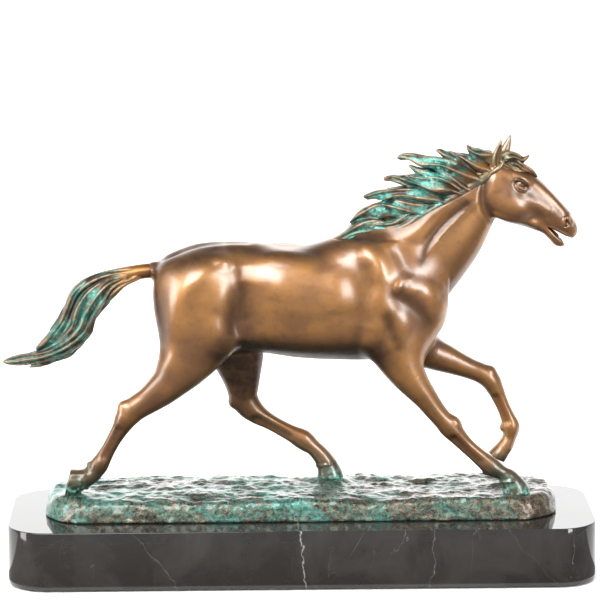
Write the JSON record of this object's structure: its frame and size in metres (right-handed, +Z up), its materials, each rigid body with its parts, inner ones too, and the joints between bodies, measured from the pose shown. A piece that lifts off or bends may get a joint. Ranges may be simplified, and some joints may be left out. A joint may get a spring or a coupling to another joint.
{
  "type": "horse statuette on a plinth",
  "caption": "Running horse cast in bronze, patinated at the mane, tail and feet, on a rough bronze ground plate bolted to a round-cornered black marble plinth.",
  "frame": {"origin": "centre of the plinth's footprint, on the surface that the felt pads rest on", "axes": "+X the way the horse runs, along the plinth's length; +Y across the plinth towards the horse's left side; +Z up"},
  "size_m": [0.402, 0.12, 0.2994],
  "materials": {
    "felt": "matt black felt",
    "marble": "polished black marble with fine white veins",
    "steel": "zinc-plated",
    "brass_fixings": "plain brass",
    "bronze": "warm brown bronze patina under wax, satin",
    "green_bronze": "dark green-brown bronze with turquoise patina",
    "patinated_bronze": "rough cast bronze, turquoise and brown patina"
  },
  "bodies": {
    "root": {"felt_pads": "felt", "marble_plinth": "marble", "plinth_bolts": "steel", "plinth_washers": "steel", "ground_plate": "patinated_bronze", "hoof_studs": "brass_fixings", "hoof_nuts": "brass_fixings", "hoof_washers": "brass_fixings", "joint_dowels": "brass_fixings", "body_casting": "bronze", "head_casting": "bronze", "right_fore_leg": "bronze", "left_fore_leg": "bronze", "right_hind_leg": "bronze", "left_hind_leg": "bronze", "right_ear": "bronze", "left_ear": "bronze", "forelock": "green_bronze", "mane_casting": "green_bronze", "tail_casting": "green_bronze"}
  },
  "joints": []
}
